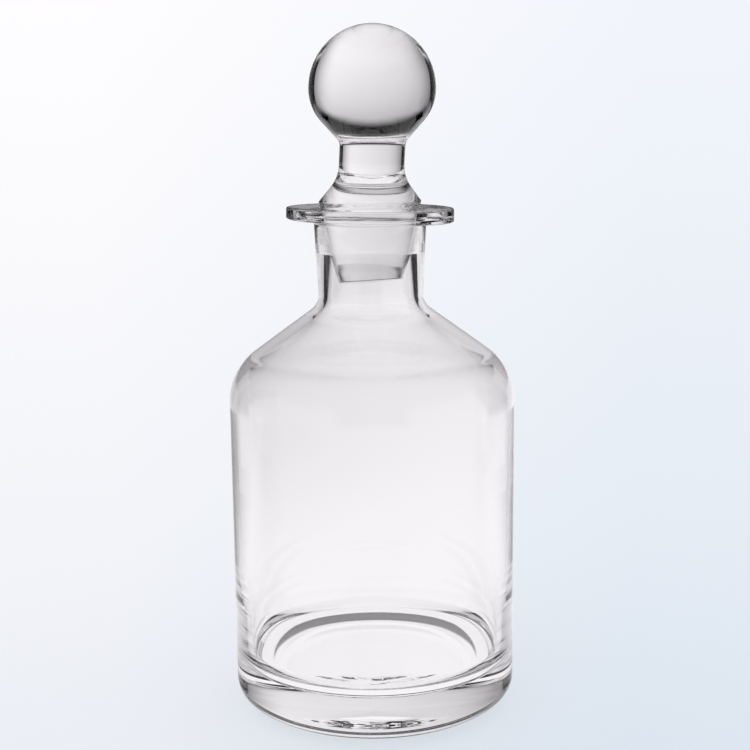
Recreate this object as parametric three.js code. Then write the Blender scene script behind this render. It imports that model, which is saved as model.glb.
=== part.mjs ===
// A round decanter of clear glass with a solid ball stopper.
// Millimetres, +Z up, origin on the table at the centre of the foot.
// Each piece is turned from one outline, given as radius from the axis and height.

import * as THREE from 'three';

// Body of the bottle
const bodyRadius = 50;
const bodyWall = 1.3;
const footRadius = 33;
const footEdge = 1;
const heelFoot = 41.8;
const heelLowRounding = 19;
const heelTop = 5.3;
const heelHighRounding = 6.8;
const hollowRadius = 15;
const hollowEdge = 0.25;
const hollowDepth = 0.55;
const hollowRounding = 200;
const baseThickness = 15.1;
const floorRounding = 9.6;

// The wall thins upward, from floorWall at the floor through middleWall to bodyWall at the shoulder
const floorWall = 4.8;
const middleWall = 2.7;
const middleHeight = 46;
const middleRounding = 200;

// Shoulder: a cone at shoulderPitch degrees above level, rounded into the straight side
const shoulderHeight = 120.4;
const shoulderPitch = 35.6;
const shoulderRounding = 21;
const shoulderWall = 2.9;

// Neck and flange
const neckRootRadius = 18.1;
const neckTopRadius = 19.4;
const neckRootRounding = 7;
const neckRootWall = 4;
const boreRootRadius = 15.5;
const boreRootRounding = 14;
const rimHeight = 176.5;
const flangeRadius = 28.9;
const flangeThickness = 4.4;
const flangeEdge = 0.6;
const underFlangeRounding = 1.2;

// Ground seat in the neck, and the plug that sits in it
const mouthRadius = 17.5;
const mouthEdge = 0.4;
const groundDepth = 15.5;
const groundTaper = 12.4;
const groundClearance = 0.3;
const seatEndRounding = 1;
const plugBendRounding = 90;
const collarHeight = 2.1;
const collarEdge = 0.4;
const plugTipLength = 9.2;
const plugTipRadius = 11;
const plugTipRounding = 0.6;

// Flare, stem and ball of the stopper
const flareAngle = 38;
const flareRounding = 12;
const stemRadius = 11.25;
const stemLength = 11.94;
const stemTopRounding = 4;
const ballRadius = 21.65;
const underBallRadius = 16;
const underBallAngle = 42;

// Smoothness: facets round the axis, and how far a facet may cut inside an arc of the outline
const turnSegments = 72;
const arcSag = 0.07;

function tangent(degrees) {
  return Math.tan(THREE.MathUtils.degToRad(degrees));
}

// Straight steps that an arc needs, from its radius and the angle that it turns through.
function arcSteps(radius, turn) {
  const step = 2 * Math.acos(1 - Math.min(arcSag / radius, 0.5));
  return Math.max(1, Math.ceil(turn / step));
}

// A corner of an outline, rounded to an arc of the given radius.
function corner(radius, height, rounding = 0) {
  return { at: new THREE.Vector2(radius, height), rounding };
}

// Points along an arc about a centre, from one angle to another, counted from level in degrees.
function arc(centreRadius, centreHeight, radius, from, to) {
  const start = THREE.MathUtils.degToRad(from);
  const end = THREE.MathUtils.degToRad(to);
  const curve = new THREE.EllipseCurve(centreRadius, centreHeight, radius, radius, start, end, end < start);
  return curve.getPoints(arcSteps(radius, Math.abs(end - start)));
}

// The half angle inside a corner, between the sides that meet there.
function halfAngle(before, at, after) {
  const toBefore = before.clone().sub(at).normalize();
  const toAfter = after.clone().sub(at).normalize();
  return Math.acos(THREE.MathUtils.clamp(toBefore.dot(toAfter), -1, 1)) / 2;
}

// Turns corners into points. Each arc touches both of its sides, and two arcs on one side share its length.
function outline(corners) {
  const inner = corners.slice(1, -1);
  const halves = [0, ...inner.map((c, i) => halfAngle(corners[i].at, c.at, corners[i + 2].at)), 0];
  const wanted = corners.map((c, i) => (halves[i] > 0 ? c.rounding / Math.tan(halves[i]) : 0));
  const sides = corners.slice(1).map((c, i) => c.at.distanceTo(corners[i].at));
  const shares = sides.map((side, i) => Math.min(1, side / Math.max(wanted[i] + wanted[i + 1], 1e-9)));
  return corners.flatMap((c, i) => {
    if (wanted[i] === 0) {
      return [c.at.clone()];
    }
    const reach = wanted[i] * Math.min(shares[i - 1], shares[i]);
    return roundedCorner(corners[i - 1].at, c.at, corners[i + 1].at, halves[i], reach);
  });
}

// The arc that cuts a corner, starting and ending at the given reach along its two sides.
function roundedCorner(before, at, after, half, reach) {
  const toBefore = before.clone().sub(at).normalize();
  const toAfter = after.clone().sub(at).normalize();
  const toCentre = toBefore.clone().add(toAfter).normalize();
  const centre = at.clone().addScaledVector(toCentre, reach / Math.cos(half));
  const start = at.clone().addScaledVector(toBefore, reach).sub(centre);
  const turn = Math.PI - 2 * half;
  const direction = Math.sign(toAfter.cross(toBefore));
  const steps = arcSteps(reach * Math.tan(half), turn);
  return Array.from({ length: steps + 1 }, (_, k) => {
    return start.clone().rotateAround(new THREE.Vector2(), (direction * turn * k) / steps).add(centre);
  });
}

function turned(points) {
  const geometry = new THREE.LatheGeometry(points, turnSegments);
  geometry.rotateX(Math.PI / 2);
  return geometry;
}

// Radius of the ground seat at a height, the same cone for the bore and, less its clearance, for the plug.
function seatRadius(height) {
  return mouthRadius - (rimHeight - height) * tangent(groundTaper);
}

// Height of the outer shoulder cone at a radius.
function shoulderCone(radius) {
  return shoulderHeight + (bodyRadius - radius) * tangent(shoulderPitch);
}

// Height of the inner shoulder cone at a radius, a wall's thickness inside the outer one.
function innerShoulder(radius, wall) {
  return shoulderCone(radius) - wall / Math.cos(THREE.MathUtils.degToRad(shoulderPitch));
}

function bottleOutline() {
  const innerRadius = bodyRadius - bodyWall;
  const flangeUnderside = rimHeight - flangeThickness;
  const seatEnd = rimHeight - groundDepth;
  return outline([
    corner(0, hollowDepth),
    corner(hollowRadius, hollowEdge, hollowRounding),
    corner(footRadius, 0, footEdge),
    corner(heelFoot, 0, heelLowRounding),
    corner(bodyRadius, heelTop, heelHighRounding),
    corner(bodyRadius, shoulderHeight, shoulderRounding),
    corner(neckRootRadius, shoulderCone(neckRootRadius), neckRootRounding),
    corner(neckTopRadius, flangeUnderside, underFlangeRounding),
    corner(flangeRadius, flangeUnderside, flangeEdge),
    corner(flangeRadius, rimHeight, flangeEdge),
    corner(mouthRadius, rimHeight, mouthEdge),
    corner(seatRadius(seatEnd), seatEnd, seatEndRounding),
    corner(boreRootRadius, innerShoulder(boreRootRadius, neckRootWall), boreRootRounding),
    corner(innerRadius, innerShoulder(innerRadius, shoulderWall), shoulderRounding - shoulderWall),
    corner(bodyRadius - middleWall, middleHeight, middleRounding),
    corner(bodyRadius - floorWall, baseThickness, floorRounding),
    corner(0, baseThickness),
  ]);
}

function stopperOutline() {
  const groundEnd = rimHeight - groundDepth;
  const plugEnd = groundEnd - plugTipLength;
  const collarLevel = rimHeight + collarHeight;
  const collarRadius = seatRadius(collarLevel) - groundClearance;
  const stemFoot = collarLevel + (collarRadius - stemRadius) / tangent(flareAngle);
  const stemTop = stemFoot + stemLength;
  const underBall = arc(ballRadius - underBallRadius, 0, underBallRadius, -underBallAngle, 0);
  const ballCentre = stemTop + (underBall[0].x - stemRadius) / tangent(underBallAngle) - underBall[0].y;
  underBall.forEach((point) => point.setY(point.y + ballCentre));
  const lower = outline([
    corner(0, plugEnd),
    corner(plugTipRadius, plugEnd, plugTipRounding),
    corner(seatRadius(groundEnd) - groundClearance, groundEnd, plugBendRounding),
    corner(collarRadius, collarLevel, collarEdge),
    corner(stemRadius, stemFoot, flareRounding),
    corner(stemRadius, stemTop, stemTopRounding),
    corner(underBall[0].x, underBall[0].y),
  ]);
  const upper = arc(0, ballCentre, ballRadius, 0, 90);
  upper[upper.length - 1].setX(0);
  return [...lower, ...underBall.slice(1), ...upper.slice(1)];
}

function clearGlass() {
  return new THREE.MeshStandardMaterial({
    color: 0xe8eff2,
    roughness: 0.03,
    metalness: 0,
    transparent: true,
    opacity: 0.35,
  });
}

function piece(name, points) {
  const mesh = new THREE.Mesh(turned(points), clearGlass());
  mesh.name = name;
  return mesh;
}

const decanter = new THREE.Group();
decanter.add(piece('bottle', bottleOutline()));
decanter.add(piece('stopper', stopperOutline()));

export default decanter;
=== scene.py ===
"""A round decanter of clear glass with a solid ball stopper, on a pale table in soft studio light."""
import math

import bpy
from mathutils import Matrix, Vector


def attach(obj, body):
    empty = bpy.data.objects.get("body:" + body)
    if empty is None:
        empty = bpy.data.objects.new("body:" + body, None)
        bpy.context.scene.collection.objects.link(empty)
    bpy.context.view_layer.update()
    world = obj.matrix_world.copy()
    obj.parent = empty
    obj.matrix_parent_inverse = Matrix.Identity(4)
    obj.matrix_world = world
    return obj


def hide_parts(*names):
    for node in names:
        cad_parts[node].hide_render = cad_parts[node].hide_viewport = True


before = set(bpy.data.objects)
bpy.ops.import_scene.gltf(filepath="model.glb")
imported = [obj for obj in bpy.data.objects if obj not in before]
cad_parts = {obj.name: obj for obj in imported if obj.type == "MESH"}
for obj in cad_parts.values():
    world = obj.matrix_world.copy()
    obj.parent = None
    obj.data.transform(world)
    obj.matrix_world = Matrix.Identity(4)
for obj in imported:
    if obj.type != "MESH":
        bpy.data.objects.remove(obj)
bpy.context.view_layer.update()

MM = 0.001

# Body of the bottle, in millimetres
BODY_RADIUS = 50.0
BODY_WALL = 1.3
FOOT_RADIUS = 33.0
FOOT_EDGE = 1.0
HEEL_FOOT = 41.8
HEEL_LOW_ROUNDING = 19.0
HEEL_TOP = 5.3
HEEL_HIGH_ROUNDING = 6.8
HOLLOW_RADIUS = 15.0
HOLLOW_EDGE = 0.06
HOLLOW_DEPTH = 0.36
HOLLOW_ROUNDING = 200.0
BASE_THICKNESS = 15.1
FLOOR_ROUNDING = 9.6

# The wall thins upward, from the floor through the middle to the shoulder
FLOOR_WALL = 4.8
MIDDLE_WALL = 2.7
MIDDLE_HEIGHT = 46.0
MIDDLE_ROUNDING = 200.0

# Shoulder: a cone, rounded into the straight side
SHOULDER_HEIGHT = 120.4
SHOULDER_PITCH = math.radians(35.6)
SHOULDER_ROUNDING = 21.0
SHOULDER_WALL = 2.9

# Neck and flange
NECK_ROOT_RADIUS = 18.1
NECK_TOP_RADIUS = 19.4
NECK_ROOT_ROUNDING = 7.0
NECK_ROOT_WALL = 4.0
BORE_ROOT_RADIUS = 15.5
BORE_ROOT_ROUNDING = 14.0
RIM_HEIGHT = 176.5
FLANGE_RADIUS = 28.9
FLANGE_THICKNESS = 4.4
FLANGE_EDGE = 0.6
UNDER_FLANGE_ROUNDING = 1.2

# Ground seat in the neck, and the plug that sits in it
MOUTH_RADIUS = 17.5
MOUTH_EDGE = 0.4
GROUND_DEPTH = 15.5
GROUND_TAPER = math.radians(12.4)
GROUND_CLEARANCE = 0.3
SEAT_END_ROUNDING = 1.0
PLUG_BEND_ROUNDING = 90.0
COLLAR_HEIGHT = 2.1
COLLAR_EDGE = 0.4
PLUG_TIP_LENGTH = 9.2
PLUG_TIP_RADIUS = 11.0
PLUG_TIP_ROUNDING = 0.6

# Flare, stem and ball of the stopper
FLARE_ANGLE = math.radians(38.0)
FLARE_ROUNDING = 12.0
STEM_RADIUS = 11.25
STEM_LENGTH = 11.94
STEM_TOP_ROUNDING = 4.0
BALL_RADIUS = 21.65
UNDER_BALL_RADIUS = 16.0
UNDER_BALL_ANGLE = math.radians(42.0)

# Hand-made unevenness. The ball stands this far to the right, and the stem leans between two heights.
LEAN = 1.25
LEAN_TOP = 199.0
LEAN_FOOT = 177.0

# The end of the plug slants down to the left and to the back, in degrees. Its band is what is turned whole.
PLUG_END_SLANT = 3.4
PLUG_END_TIP = 5.0
PLUG_END_REACH = 6.0
PLUG_END_BAND = 0.75
PLUG_END_BAND_RISE = 0.06

# The flange is thinner and higher on the left. The outer band of its underside is what is turned whole.
FLANGE_SLANT = -2.0
FLANGE_REACH = 8.0
FLANGE_BAND_INWARD = 0.9
FLANGE_BAND_BELOW = 0.1
FLANGE_BAND_ABOVE = 1.0

# How finely the glass is made. Straight sides have a point this far in from each end.
TURN_STEPS = 240
ARC_STEP = math.radians(2.25)
FEWEST_ARC_STEPS = 3
HOLD = 0.7
SHORTEST_SIDE = 1e-4

# Points that are closer than this, in metres, become one
SAME_POINT = 2e-6

# Clear glass, and how rough its ground faces are
GLASS_INDEX = 1.5
GLASS_TINTS = ((0.985, 0.985, 0.985, 1), (0.998, 0.998, 0.998, 1))
GROUND_ROUGHNESS = 0.05
GROUND_WITHIN = NECK_ROOT_RADIUS - 0.2

# Faint unevenness of the surface. Depths are in metres, and a grain is how often it varies in a metre.
WAVE_DEPTH = 0.00003
WAVE_GRAIN = (30, 30, 30)
STREAK_DEPTH = 0.00003
STREAK_GRAIN = (50, 50, 900)

# Rings in the front part of the underside, in metres. Each rises slowly outward and falls twice as steeply.
RIPPLE_WIDTH = 0.0075
RIPPLE_RISE = 0.125
RIPPLE_FALL = 0.25
RIPPLE_INNER = 0.024
RIPPLE_RADIUS = 0.036
RIPPLE_FRONT = -0.018
RIPPLE_BACK = -0.011
RIPPLE_UNEVENNESS = 0.005
RIPPLE_GRAIN = (160, 160, 160)
RIPPLE_BREAKS = (0.33, 0.5)
RIPPLE_BREAK_GRAIN = (60, 60, 60)
UNDERSIDE_TOP = 0.002

# The studio, in metres. Through the glass it is seen as a lit wall round a bright table, with black flags at
# the sides and nothing above. The camera itself sees only the pale table and a pale distance.
NEUTRAL = (1.0, 0.972, 1.0, 1.0)
DARK_ABOVE = (0.004, 0.004, 0.004, 1.0)
OPEN_ROOM = (1.0, 1.0, 1.0, 1.0)

# The wall. Its light falls off upward and ends softly at the top, lower toward the sides.
WALL_DISTANCE = 0.6
WALL_FACETS = 180
WALL_HEIGHT = 0.56
WALL_TOP_FADE = 0.13
WALL_FADE = 1.9
SIDE_DROP = 0.35
SIDE_DROP_END = (1.25, 1.5)

# The dark part of the wall behind the camera: from which direction on, in radians, and from which height up
DARK_BEHIND_CAMERA = (2.55, 2.75)
DARK_BEHIND_CAMERA_HEIGHTS = (0.02, 0.2)

# Brightness of the wall by the direction in degrees from straight behind the glass, positive to the right
PANELS = (
    (-180, 0.9), (-72, 0.9), (-55, 0.24), (-45, 0.40), (-31, 0.66), (-20, 0.80),
    (0, 0.91), (25, 1.0), (29, 0.97), (34, 0.87), (41, 0.68), (55, 0.24), (84, 0.9), (180, 0.9),
)

# The black flags: first and last direction, distance, lower and upper end. Two small ones are near the neck.
FLAGS = (
    (50.5, 84.0, 0.32, 0.0, 0.5),
    (-72.0, -50.5, 0.32, 0.0, 0.5),
    (46.0, 70.0, 0.09, 0.15, 0.172),
    (-70.0, -46.0, 0.09, 0.15, 0.172),
)
FLAG_STEPS = 16

# The flags are pale up to one height and black from another one up
FLAG_PALE = 0.8
FLAG_FADE = (0.03, 0.095)

# The outside of the glass mirrors the table and the low wall behind it whole, and a share of everything else
MIRRORED_SHARE = 0.12
MIRRORED_HEIGHTS = (0.09, 0.13)
MIRRORED_WALL_BACK = (-0.1, 0.25)
MIRRORED_TABLE_BACK = (-0.03, 0.08)

# The table as the glass sees it: a glow near the foot, which goes over into the brightness of the panels. In
# front, by directions in radians, it goes over into a level of its own.
TABLE_SIZE = 40
TABLE_GLOW = 1.0
TABLE_GLOW_END = (0.06, 0.42)
TABLE_FRONT = (1.7, 2.3)
TABLE_FRONT_LEVEL = 0.92

# The table in real light, and how much of that light the camera sees on it
TABLE_WHITE = (0.8, 0.8, 0.8, 1)
TABLE_SHADE = 0.2

# The crescent of shadow that the heel throws on the table behind it: radius and centre of its two round edges
SHADOW_START = 0.0405
SHADOW_START_SHIFT = -0.002
SHADOW_END = 0.0406
SHADOW_END_SHIFT = 0.0084
SHADOW_SOFTNESS = 0.001
SHADOW_DEPTH = 0.85

# The pale distance that the camera sees: whiter at the top and on the left, bluer at the bottom right
PALE_TOP_LEFT = (1.0, 0.985, 1.0, 1.0)
PALE_TOP_RIGHT = (0.888, 0.913, 0.965, 1.0)
PALE_BOTTOM_LEFT = (0.847, 0.871, 0.922, 1.0)
PALE_BOTTOM_RIGHT = (0.738, 0.807, 0.888, 1.0)

# Where the object is looked at from, and how high, deep and wide the pale distance is at a metre from there.
# Further to the sides and behind, the distance from the axis, times a share, stands in for how far off it is.
OUTLOOK = (0.0, -0.4733, 0.2041)
OUTLOOK_TOP = 0.093
OUTLOOK_DROP = 0.578
OUTLOOK_WIDTH = 0.4
FAR_SHARE = 0.95

# The camera
LENS = 65.57
SENSOR_WIDTH = 36.0
LENS_SHIFT = 0.00427
NEAREST = 0.01
LOOK_DOWN = 10.34
ROLL = 0.66

# How often light is followed through the glass and off it
THROUGH_BOUNCES = 32
MIRROR_BOUNCES = 16


# Heights and radii on the ground seat and the shoulder

def seat_radius(height):
    """Radius of the ground seat at a height. The plug is the same cone, less its clearance."""
    return MOUTH_RADIUS - (RIM_HEIGHT - height) * math.tan(GROUND_TAPER)


def shoulder_cone(radius):
    """Height of the outer cone of the shoulder at a radius."""
    return SHOULDER_HEIGHT + (BODY_RADIUS - radius) * math.tan(SHOULDER_PITCH)


def inner_shoulder(radius, wall):
    """Height of the inner cone of the shoulder at a radius, a wall's thickness inside the outer one."""
    return shoulder_cone(radius) - wall / math.cos(SHOULDER_PITCH)


# Drawing an outline: one point that is drawn out along straight sides and swung along arcs

def start_outline(name, radius, height):
    bpy.ops.object.select_all(action="DESELECT")
    bpy.ops.mesh.primitive_plane_add(size=2 * MM, location=(radius * MM, 0, height * MM))
    piece = bpy.context.object
    piece.name = piece.data.name = name
    bpy.ops.object.transform_apply(location=True, rotation=False, scale=False)
    bpy.ops.object.mode_set(mode="EDIT")
    bpy.ops.mesh.select_all(action="SELECT")
    bpy.ops.mesh.merge(type="CENTER")
    return piece


def draw_side(start, end):
    """A straight side. It has a point a short way in from each end, so that its shading stays straight."""
    length = (end - start).length
    stops = [0.0, 1.0]
    if length > 3 * HOLD:
        stops = [0.0, HOLD / length, 1 - HOLD / length, 1.0]
    for a, b in zip(stops, stops[1:]):
        step = (end - start) * (b - a) * MM
        bpy.ops.mesh.extrude_region_move(TRANSFORM_OT_translate={"value": (step.x, 0, step.y)})


def draw_arc(centre, turn):
    steps = max(FEWEST_ARC_STEPS, math.ceil(abs(turn) / ARC_STEP))
    bpy.ops.mesh.spin(steps=steps, angle=turn, center=(centre.x * MM, 0, centre.y * MM), axis=(0, 1, 0))


def draw_corners(corners):
    """Draws through corners of radius, height and rounding. Two arcs on one side share its length."""
    points = [Vector((radius, height)) for radius, height, _ in corners]
    last = len(corners) - 1
    reach = [0.0] * len(corners)
    half = [0.0] * len(corners)
    for i in range(1, last):
        to_before = (points[i - 1] - points[i]).normalized()
        to_after = (points[i + 1] - points[i]).normalized()
        half[i] = to_before.angle(to_after) / 2
        reach[i] = corners[i][2] / math.tan(half[i])
    shares = [
        min(1.0, (points[i + 1] - points[i]).length / max(reach[i] + reach[i + 1], SHORTEST_SIDE))
        for i in range(last)
    ]
    at = points[0]
    for i in range(1, last):
        if reach[i] == 0:
            draw_side(at, points[i])
            at = points[i]
            continue
        length = reach[i] * min(shares[i - 1], shares[i])
        to_before = (points[i - 1] - points[i]).normalized()
        to_after = (points[i + 1] - points[i]).normalized()
        begin = points[i] + to_before * length
        if (begin - at).length > SHORTEST_SIDE:
            draw_side(at, begin)
        centre = points[i] + (to_before + to_after).normalized() * length / math.cos(half[i])
        side = to_before.x * to_after.y - to_before.y * to_after.x
        draw_arc(centre, math.copysign(math.pi - 2 * half[i], -side))
        at = points[i] + to_after * length
    if (points[last] - at).length > SHORTEST_SIDE:
        draw_side(at, points[last])


def turn_round():
    """Spins the finished outline once round the axis and closes it into one smooth skin."""
    bpy.ops.mesh.select_all(action="SELECT")
    bpy.ops.mesh.spin(steps=TURN_STEPS, angle=math.tau, center=(0, 0, 0), axis=(0, 0, 1))
    bpy.ops.mesh.select_all(action="SELECT")
    bpy.ops.mesh.remove_doubles(threshold=SAME_POINT)
    bpy.ops.mesh.normals_make_consistent(inside=False)
    bpy.ops.object.mode_set(mode="OBJECT")
    bpy.ops.object.shade_smooth()


# Hand-made unevenness

def pick(piece, wanted):
    """Goes into edit mode with just those points selected that are wanted."""
    bpy.ops.object.select_all(action="DESELECT")
    piece.select_set(True)
    bpy.context.view_layer.objects.active = piece
    bpy.ops.object.mode_set(mode="EDIT")
    bpy.ops.mesh.select_mode(type="VERT")
    bpy.ops.mesh.select_all(action="DESELECT")
    bpy.ops.object.mode_set(mode="OBJECT")
    for vertex in piece.data.vertices:
        vertex.select = wanted(vertex.co / MM)
    bpy.ops.object.mode_set(mode="EDIT")


def slant(piece, wanted, axis, degrees, height, reach):
    """Turns the wanted points about a level axis. Others take part by how near they are, up to the reach."""
    pick(piece, wanted)
    bpy.ops.transform.rotate(
        value=math.radians(degrees), orient_axis=axis, orient_type="GLOBAL",
        center_override=(0, 0, height * MM), use_proportional_edit=True,
        proportional_edit_falloff="LINEAR", proportional_size=reach * MM,
    )
    bpy.ops.object.mode_set(mode="OBJECT")


def lean_ball(piece):
    """The ball stands a little to the right: the stem leans evenly from the collar up to it."""
    pick(piece, lambda at: at.z > LEAN_TOP)
    bpy.ops.transform.translate(
        value=(LEAN * MM, 0, 0), use_proportional_edit=True, proportional_edit_falloff="LINEAR",
        proportional_size=(LEAN_TOP - LEAN_FOOT) * MM,
    )
    bpy.ops.object.mode_set(mode="OBJECT")


# The two pieces

def make_bottle():
    """One skin, from the hollow underneath up the outside and down the inside to the middle of the floor."""
    inner_radius = BODY_RADIUS - BODY_WALL
    flange_underside = RIM_HEIGHT - FLANGE_THICKNESS
    seat_end = RIM_HEIGHT - GROUND_DEPTH
    corners = [
        (0, HOLLOW_DEPTH, 0),
        (HOLLOW_RADIUS, HOLLOW_EDGE, HOLLOW_ROUNDING),
        (FOOT_RADIUS, 0, FOOT_EDGE),
        (HEEL_FOOT, 0, HEEL_LOW_ROUNDING),
        (BODY_RADIUS, HEEL_TOP, HEEL_HIGH_ROUNDING),
        (BODY_RADIUS, SHOULDER_HEIGHT, SHOULDER_ROUNDING),
        (NECK_ROOT_RADIUS, shoulder_cone(NECK_ROOT_RADIUS), NECK_ROOT_ROUNDING),
        (NECK_TOP_RADIUS, flange_underside, UNDER_FLANGE_ROUNDING),
        (FLANGE_RADIUS, flange_underside, FLANGE_EDGE),
        (FLANGE_RADIUS, RIM_HEIGHT, FLANGE_EDGE),
        (MOUTH_RADIUS, RIM_HEIGHT, MOUTH_EDGE),
        (seat_radius(seat_end), seat_end, SEAT_END_ROUNDING),
        (BORE_ROOT_RADIUS, inner_shoulder(BORE_ROOT_RADIUS, NECK_ROOT_WALL), BORE_ROOT_ROUNDING),
        (inner_radius, inner_shoulder(inner_radius, SHOULDER_WALL), SHOULDER_ROUNDING - SHOULDER_WALL),
        (BODY_RADIUS - MIDDLE_WALL, MIDDLE_HEIGHT, MIDDLE_ROUNDING),
        (BODY_RADIUS - FLOOR_WALL, BASE_THICKNESS, FLOOR_ROUNDING),
        (0, BASE_THICKNESS, 0),
    ]
    piece = start_outline("clear_bottle", 0, HOLLOW_DEPTH)
    draw_corners(corners)
    turn_round()
    low = flange_underside - FLANGE_BAND_BELOW
    high = flange_underside + FLANGE_BAND_ABOVE
    inward = FLANGE_RADIUS - FLANGE_BAND_INWARD
    slant(
        piece, lambda at: low < at.z < high and at.xy.length > inward,
        "Y", FLANGE_SLANT, flange_underside, FLANGE_REACH,
    )
    return piece


def make_stopper():
    """One skin, from the middle of the plug's end up over the ball."""
    ground_end = RIM_HEIGHT - GROUND_DEPTH
    plug_end = ground_end - PLUG_TIP_LENGTH
    collar_level = RIM_HEIGHT + COLLAR_HEIGHT
    collar_radius = seat_radius(collar_level) - GROUND_CLEARANCE
    stem_foot = collar_level + (collar_radius - STEM_RADIUS) / math.tan(FLARE_ANGLE)
    stem_top = stem_foot + STEM_LENGTH
    under_ball_centre = BALL_RADIUS - UNDER_BALL_RADIUS
    under_ball_start = under_ball_centre + UNDER_BALL_RADIUS * math.cos(UNDER_BALL_ANGLE)
    under_ball_foot = stem_top + (under_ball_start - STEM_RADIUS) / math.tan(UNDER_BALL_ANGLE)
    ball_centre = under_ball_foot + UNDER_BALL_RADIUS * math.sin(UNDER_BALL_ANGLE)
    corners = [
        (0, plug_end, 0),
        (PLUG_TIP_RADIUS, plug_end, PLUG_TIP_ROUNDING),
        (seat_radius(ground_end) - GROUND_CLEARANCE, ground_end, PLUG_BEND_ROUNDING),
        (collar_radius, collar_level, COLLAR_EDGE),
        (STEM_RADIUS, stem_foot, FLARE_ROUNDING),
        (STEM_RADIUS, stem_top, STEM_TOP_ROUNDING),
        (under_ball_start, under_ball_foot, 0),
    ]
    piece = start_outline("clear_stopper", 0, plug_end)
    draw_corners(corners)
    draw_arc(Vector((under_ball_centre, ball_centre)), UNDER_BALL_ANGLE)
    draw_arc(Vector((0, ball_centre)), math.pi / 2)
    turn_round()
    band = plug_end + PLUG_END_BAND
    slant(piece, lambda at: at.z < band, "Y", PLUG_END_SLANT, plug_end, PLUG_END_REACH)
    slant(
        piece, lambda at: at.z < band + at.x * PLUG_END_BAND_RISE,
        "X", PLUG_END_TIP, plug_end, PLUG_END_REACH,
    )
    lean_ball(piece)
    return piece


# Building materials out of nodes

def add(tree, kind, **settings):
    node = tree.nodes.new(kind)
    for key, value in settings.items():
        setattr(node, key, value)
    return node


def feed(tree, value, socket):
    """Gives a socket the output of another node, or a plain number or colour."""
    if isinstance(value, bpy.types.NodeSocket):
        tree.links.new(value, socket)
    else:
        socket.default_value = value


def fresh_tree(owner):
    owner.use_nodes = True
    owner.node_tree.nodes.clear()
    return owner.node_tree


def math_node(tree, operation, *inputs, clamp=False):
    node = add(tree, "ShaderNodeMath", operation=operation, use_clamp=clamp)
    for socket, value in zip(node.inputs, inputs):
        feed(tree, value, socket)
    return node.outputs[0]


def times(tree, first, *others):
    product = first
    for other in others:
        product = math_node(tree, "MULTIPLY", product, other)
    return product


def rest_of(tree, share):
    """What a share leaves of one."""
    return math_node(tree, "SUBTRACT", 1.0, share)


def step_up(tree, value, low, high):
    """A soft step from 0 to 1 as the value goes from low to high."""
    node = add(tree, "ShaderNodeMapRange", interpolation_type="SMOOTHSTEP")
    feed(tree, value, node.inputs["Value"])
    feed(tree, low, node.inputs["From Min"])
    feed(tree, high, node.inputs["From Max"])
    return node.outputs["Result"]


def blend(tree, factor, first, second):
    """Goes from the first number to the second as the factor goes from 0 to 1."""
    node = add(tree, "ShaderNodeMix", data_type="FLOAT")
    feed(tree, factor, node.inputs[0])
    feed(tree, first, node.inputs[2])
    feed(tree, second, node.inputs[3])
    return node.outputs[0]


def blend_colours(tree, factor, first, second):
    """Goes from the first colour to the second as the factor goes from 0 to 1."""
    node = add(tree, "ShaderNodeMix", data_type="RGBA")
    feed(tree, factor, node.inputs[0])
    feed(tree, first, node.inputs[6])
    feed(tree, second, node.inputs[7])
    return node.outputs[2]


def mix_shaders(tree, factor, first, second):
    node = add(tree, "ShaderNodeMixShader")
    for value, socket in zip((factor, first, second), node.inputs):
        feed(tree, value, socket)
    return node.outputs[0]


def glow(tree, kind, colour, strength=1.0):
    """An emission or a background."""
    shader = add(tree, kind)
    feed(tree, colour, shader.inputs["Color"])
    feed(tree, strength, shader.inputs["Strength"])
    return shader.outputs[0]


def place_of(tree):
    """X, Y and Z of the point that is shaded."""
    place = add(tree, "ShaderNodeTexCoord")
    split = add(tree, "ShaderNodeSeparateXYZ")
    feed(tree, place.outputs["Object"], split.inputs[0])
    return split.outputs["X"], split.outputs["Y"], split.outputs["Z"]


def distance(tree, x, y, shift=0.0):
    """How far the point x, y is from the axis, or from a point that far behind it."""
    back = math_node(tree, "SUBTRACT", y, shift)
    squares = math_node(tree, "ADD", math_node(tree, "POWER", x, 2.0), math_node(tree, "POWER", back, 2.0))
    return math_node(tree, "SQRT", squares)


def noise(tree, place, grain):
    """Noise from 0 to 1 whose grain is given by how often it varies in a metre along X, Y and Z."""
    scaled = add(tree, "ShaderNodeVectorMath", operation="MULTIPLY")
    feed(tree, place, scaled.inputs[0])
    feed(tree, grain, scaled.inputs[1])
    node = add(tree, "ShaderNodeTexNoise")
    feed(tree, 1.0, node.inputs["Scale"])
    feed(tree, scaled.outputs[0], node.inputs["Vector"])
    return node.outputs[0]


def raised(tree, height, depth, below=None):
    """A bump of the given depth in metres, laid over another one."""
    bump = add(tree, "ShaderNodeBump")
    feed(tree, depth, bump.inputs["Distance"])
    feed(tree, height, bump.inputs["Height"])
    if below:
        feed(tree, below, bump.inputs["Normal"])
    return bump.outputs[0]


# Glass

def ground_part(tree, z, away, ground_top):
    """1 on the ground face of the seat or the plug, 0 elsewhere."""
    ground_foot = MM * (RIM_HEIGHT - GROUND_DEPTH)
    over_foot = step_up(tree, z, ground_foot, ground_foot + MM)
    under_top = math_node(tree, "LESS_THAN", z, ground_top)
    inside = math_node(tree, "LESS_THAN", away, MM * GROUND_WITHIN)
    return times(tree, over_foot, under_top, inside)


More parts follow.
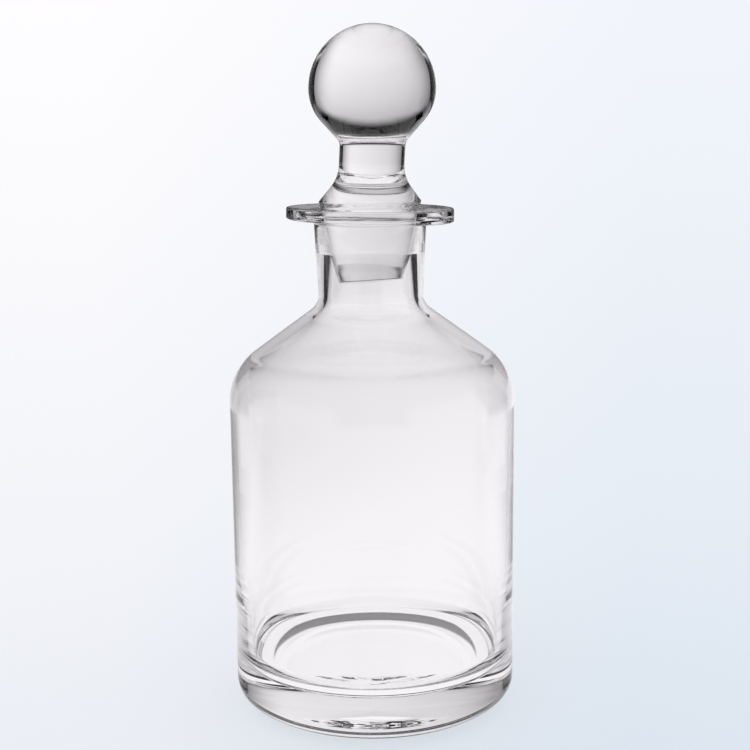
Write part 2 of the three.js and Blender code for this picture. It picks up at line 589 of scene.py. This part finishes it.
def foot_rings(tree, place, y, z, away):
    """Height of the uneven, broken rings in the front part of the underside, in ring widths."""
    uneven = math_node(tree, "MULTIPLY_ADD", noise(tree, place, RIPPLE_GRAIN), RIPPLE_UNEVENNESS, away)
    along = math_node(tree, "FRACT", times(tree, uneven, 1 / RIPPLE_WIDTH))
    rising = times(tree, along, RIPPLE_RISE)
    falling = math_node(tree, "MULTIPLY_ADD", along, -RIPPLE_FALL, RIPPLE_FALL)
    rings = math_node(tree, "MINIMUM", rising, falling)
    underneath = math_node(tree, "LESS_THAN", z, UNDERSIDE_TOP)
    near = rest_of(tree, step_up(tree, away, RIPPLE_INNER, RIPPLE_RADIUS))
    front = rest_of(tree, step_up(tree, y, RIPPLE_FRONT, RIPPLE_BACK))
    unbroken = step_up(tree, noise(tree, place, RIPPLE_BREAK_GRAIN), *RIPPLE_BREAKS)
    return times(tree, rings, times(tree, underneath, near, front, unbroken))


def clear_glass(name, ground_top):
    """Clear glass, faintly uneven, finely ground in the seat and ringed under the foot."""
    material = bpy.data.materials.new(name)
    material.use_nodes = True
    tree = material.node_tree
    shader = tree.nodes["Principled BSDF"]
    feed(tree, GLASS_INDEX, shader.inputs["IOR"])
    feed(tree, 1.0, shader.inputs["Transmission Weight"])
    place = add(tree, "ShaderNodeTexCoord").outputs["Object"]
    x, y, z = place_of(tree)
    away = distance(tree, x, y)
    cloud = noise(tree, place, WAVE_GRAIN)
    ground = ground_part(tree, z, away, ground_top)
    streaks = times(tree, noise(tree, place, STREAK_GRAIN), ground)
    wavy = raised(tree, cloud, WAVE_DEPTH)
    streaked = raised(tree, streaks, STREAK_DEPTH, wavy)
    ringed = raised(tree, foot_rings(tree, place, y, z, away), RIPPLE_WIDTH, streaked)
    feed(tree, blend_colours(tree, cloud, *GLASS_TINTS), shader.inputs["Base Color"])
    feed(tree, times(tree, ground, GROUND_ROUGHNESS), shader.inputs["Roughness"])
    feed(tree, ringed, shader.inputs["Normal"])
    return material


# Light in the studio

def panel_level(tree, turn):
    """Brightness of the panels in a direction, given in radians from straight behind the glass."""
    ramp = add(tree, "ShaderNodeValToRGB")
    elements = ramp.color_ramp.elements
    while len(elements) < len(PANELS):
        elements.new(0.5)
    for element, (degrees, level) in zip(elements, PANELS):
        element.position = degrees / 360 + 0.5
        element.color = (level, level, level, 1)
    feed(tree, math_node(tree, "MULTIPLY_ADD", turn, 1 / math.tau, 0.5), ramp.inputs[0])
    return ramp.outputs["Color"]


def after_mirroring(tree, path, level, share):
    """The level as it is through the glass, or its share where the outside of the glass mirrors it."""
    lost = times(tree, path.outputs["Is Reflection Ray"], rest_of(tree, share))
    return times(tree, level, rest_of(tree, lost))


def from_glass(tree, path):
    return math_node(tree, "MAXIMUM", path.outputs["Is Glossy Ray"], path.outputs["Is Transmission Ray"])


def pale_distance(tree, across, down):
    """The colour of the pale surroundings, from how far across and down they are seen from the front."""
    right = math_node(tree, "MULTIPLY_ADD", across, 1 / OUTLOOK_WIDTH, 0.5, clamp=True)
    low = math_node(tree, "MULTIPLY_ADD", down, -1 / OUTLOOK_DROP, OUTLOOK_TOP / OUTLOOK_DROP, clamp=True)
    top = blend_colours(tree, right, PALE_TOP_LEFT, PALE_TOP_RIGHT)
    bottom = blend_colours(tree, right, PALE_BOTTOM_LEFT, PALE_BOTTOM_RIGHT)
    return blend_colours(tree, low, top, bottom)


def heel_shadow(tree, x, y):
    """1 inside the crescent of shadow behind the heel, 0 elsewhere. It lies between two round edges."""
    start = distance(tree, x, y, SHADOW_START_SHIFT)
    end = distance(tree, x, y, SHADOW_END_SHIFT)
    outside = step_up(tree, start, SHADOW_START - SHADOW_SOFTNESS, SHADOW_START + SHADOW_SOFTNESS)
    beyond = step_up(tree, end, SHADOW_END - SHADOW_SOFTNESS, SHADOW_END + SHADOW_SOFTNESS)
    return times(tree, outside, rest_of(tree, beyond))


# The table and the studio round it

def seen_from_glass_only(piece):
    piece.visible_camera = piece.visible_diffuse = piece.visible_shadow = False


def table_level(tree, x, y, away):
    """Brightness of the table as the glass sees it."""
    turn = math_node(tree, "ARCTAN2", x, y)
    far = step_up(tree, away, *TABLE_GLOW_END)
    front = step_up(tree, math_node(tree, "ABSOLUTE", turn), *TABLE_FRONT)
    round_about = math_node(tree, "MAXIMUM", panel_level(tree, turn), times(tree, front, TABLE_FRONT_LEVEL))
    level = blend(tree, far, TABLE_GLOW, round_about)
    lit_share = math_node(tree, "MULTIPLY_ADD", heel_shadow(tree, x, y), -SHADOW_DEPTH, 1.0)
    return times(tree, level, lit_share)


def pale_table():
    bpy.ops.object.select_all(action="DESELECT")
    bpy.ops.mesh.primitive_plane_add(size=TABLE_SIZE, location=(0, 0, 0))
    table = bpy.context.object
    table.name = "pale_table"
    material = bpy.data.materials.new("table_white")
    tree = fresh_tree(material)
    out = add(tree, "ShaderNodeOutputMaterial")
    path = add(tree, "ShaderNodeLightPath")
    x, y, _ = place_of(tree)
    away = distance(tree, x, y)
    mirrored = blend(tree, step_up(tree, y, *MIRRORED_TABLE_BACK), MIRRORED_SHARE, 1.0)
    level = after_mirroring(tree, path, table_level(tree, x, y, away), mirrored)
    through = glow(tree, "ShaderNodeEmission", NEUTRAL, level)
    depth = math_node(tree, "SUBTRACT", y, OUTLOOK[1])
    depth = math_node(tree, "MAXIMUM", depth, times(tree, away, FAR_SHARE))
    across = math_node(tree, "DIVIDE", x, depth)
    down = math_node(tree, "DIVIDE", -OUTLOOK[2], depth)
    colour = pale_distance(tree, across, down)
    shaded = add(tree, "ShaderNodeBsdfDiffuse")
    feed(tree, colour, shaded.inputs["Color"])
    seen = mix_shaders(tree, TABLE_SHADE, glow(tree, "ShaderNodeEmission", colour), shaded.outputs[0])
    lit = add(tree, "ShaderNodeBsdfDiffuse")
    feed(tree, TABLE_WHITE, lit.inputs["Color"])
    other = mix_shaders(tree, from_glass(tree, path), lit.outputs[0], through)
    feed(tree, mix_shaders(tree, path.outputs["Is Camera Ray"], other, seen), out.inputs["Surface"])
    table.data.materials.append(material)


def wall_level(tree, x, y, z):
    """Brightness of the wall as the glass sees it."""
    turn = math_node(tree, "ARCTAN2", x, y)
    to_side = math_node(tree, "ABSOLUTE", turn)
    fade = math_node(tree, "MULTIPLY_ADD", times(tree, z, z), -WALL_FADE, 1.0)
    ahead = rest_of(tree, step_up(tree, to_side, *SIDE_DROP_END))
    lower = math_node(tree, "MULTIPLY_ADD", times(tree, turn, turn, ahead), SIDE_DROP, 1.0)
    over_top = step_up(tree, times(tree, z, lower), WALL_HEIGHT - WALL_TOP_FADE, WALL_HEIGHT)
    behind_camera = step_up(tree, to_side, *DARK_BEHIND_CAMERA)
    dark = times(tree, behind_camera, step_up(tree, z, *DARK_BEHIND_CAMERA_HEIGHTS))
    return times(tree, panel_level(tree, turn), fade, rest_of(tree, over_top), rest_of(tree, dark))


def studio_wall():
    """The ring of panels. Only rays that come from the glass see it."""
    bpy.ops.object.select_all(action="DESELECT")
    bpy.ops.mesh.primitive_cylinder_add(
        vertices=WALL_FACETS, radius=WALL_DISTANCE, depth=WALL_HEIGHT, end_fill_type="NOTHING",
        location=(0, 0, WALL_HEIGHT / 2),
    )
    wall = bpy.context.object
    wall.name = "studio_wall"
    bpy.ops.object.transform_apply(location=True)
    seen_from_glass_only(wall)
    material = bpy.data.materials.new("lit_panels")
    tree = fresh_tree(material)
    out = add(tree, "ShaderNodeOutputMaterial")
    path = add(tree, "ShaderNodeLightPath")
    x, y, z = place_of(tree)
    low = blend(tree, step_up(tree, z, *MIRRORED_HEIGHTS), 1.0, MIRRORED_SHARE)
    mirrored = blend(tree, step_up(tree, y, *MIRRORED_WALL_BACK), MIRRORED_SHARE, low)
    level = after_mirroring(tree, path, wall_level(tree, x, y, z), mirrored)
    feed(tree, glow(tree, "ShaderNodeEmission", NEUTRAL, level), out.inputs["Surface"])
    wall.data.materials.append(material)


def flag_black():
    material = bpy.data.materials.new("flag_black")
    tree = fresh_tree(material)
    out = add(tree, "ShaderNodeOutputMaterial")
    _, _, z = place_of(tree)
    level = blend(tree, step_up(tree, z, *FLAG_FADE), FLAG_PALE, 0.0)
    feed(tree, glow(tree, "ShaderNodeEmission", NEUTRAL, level), out.inputs["Surface"])
    return material


def black_flags():
    """Curved black cards that stand round the glass. Only rays from the glass see them."""
    material = flag_black()
    for number, (first, last, away, foot, top) in enumerate(FLAGS):
        bpy.ops.object.select_all(action="DESELECT")
        turn = math.radians(first)
        place = (away * math.sin(turn), away * math.cos(turn), foot)
        bpy.ops.mesh.primitive_plane_add(size=2 * MM, location=place)
        flag = bpy.context.object
        flag.name = f"flag_{number + 1}"
        bpy.ops.object.transform_apply(location=True)
        bpy.ops.object.mode_set(mode="EDIT")
        bpy.ops.mesh.select_all(action="SELECT")
        bpy.ops.mesh.merge(type="CENTER")
        bpy.ops.mesh.extrude_region_move(TRANSFORM_OT_translate={"value": (0, 0, top - foot)})
        bpy.ops.mesh.select_all(action="SELECT")
        arc = math.radians(last - first)
        bpy.ops.mesh.spin(steps=FLAG_STEPS, angle=arc, center=(0, 0, 0), axis=(0, 0, 1))
        bpy.ops.object.mode_set(mode="OBJECT")
        seen_from_glass_only(flag)
        flag.data.materials.append(material)


def studio_world():
    """A plain white room for lit surfaces, dark above for the glass, and the pale distance for the camera."""
    world = bpy.data.worlds.new("studio")
    bpy.context.scene.world = world
    tree = fresh_tree(world)
    out = add(tree, "ShaderNodeOutputWorld")
    path = add(tree, "ShaderNodeLightPath")
    direction = add(tree, "ShaderNodeTexCoord")
    split = add(tree, "ShaderNodeSeparateXYZ")
    feed(tree, direction.outputs["Generated"], split.inputs[0])
    level_part = distance(tree, split.outputs["X"], split.outputs["Y"])
    depth = math_node(tree, "MAXIMUM", split.outputs["Y"], times(tree, level_part, FAR_SHARE))
    across = math_node(tree, "DIVIDE", split.outputs["X"], depth)
    down = math_node(tree, "DIVIDE", split.outputs["Z"], depth)
    seen = glow(tree, "ShaderNodeBackground", pale_distance(tree, across, down))
    above = glow(tree, "ShaderNodeBackground", DARK_ABOVE)
    lit = glow(tree, "ShaderNodeBackground", OPEN_ROOM)
    other = mix_shaders(tree, from_glass(tree, path), lit, above)
    feed(tree, mix_shaders(tree, path.outputs["Is Camera Ray"], other, seen), out.inputs["Surface"])


def camera():
    """The photo's angle: a little above the glass, looking down at it and rolled by less than a degree."""
    lens = bpy.data.cameras.new("camera")
    lens.lens = LENS
    lens.sensor_width = SENSOR_WIDTH
    lens.shift_x = LENS_SHIFT
    lens.clip_start = NEAREST
    holder = bpy.data.objects.new("camera", lens)
    bpy.context.scene.collection.objects.link(holder)
    holder.location = OUTLOOK
    tilt = Matrix.Rotation(math.radians(90 - LOOK_DOWN), 3, "X")
    roll = Matrix.Rotation(math.radians(-ROLL), 3, "Z")
    holder.rotation_euler = (tilt @ roll).to_euler()
    bpy.context.scene.camera = holder


def view_settings():
    scene = bpy.context.scene
    scene.view_settings.view_transform = "Standard"
    scene.cycles.max_bounces = THROUGH_BOUNCES
    scene.cycles.transmission_bounces = THROUGH_BOUNCES
    scene.cycles.glossy_bounces = MIRROR_BOUNCES


bottle = make_bottle()
bottle.data.materials.append(clear_glass("bottle_glass", MM * (RIM_HEIGHT - MOUTH_EDGE)))
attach(bottle, "bottle")
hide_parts("bottle")

stopper = make_stopper()
stopper.data.materials.append(clear_glass("stopper_glass", MM * (RIM_HEIGHT + COLLAR_HEIGHT)))
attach(stopper, "stopper")
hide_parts("stopper")

pale_table()
studio_wall()
black_flags()
studio_world()
camera()
view_settings()
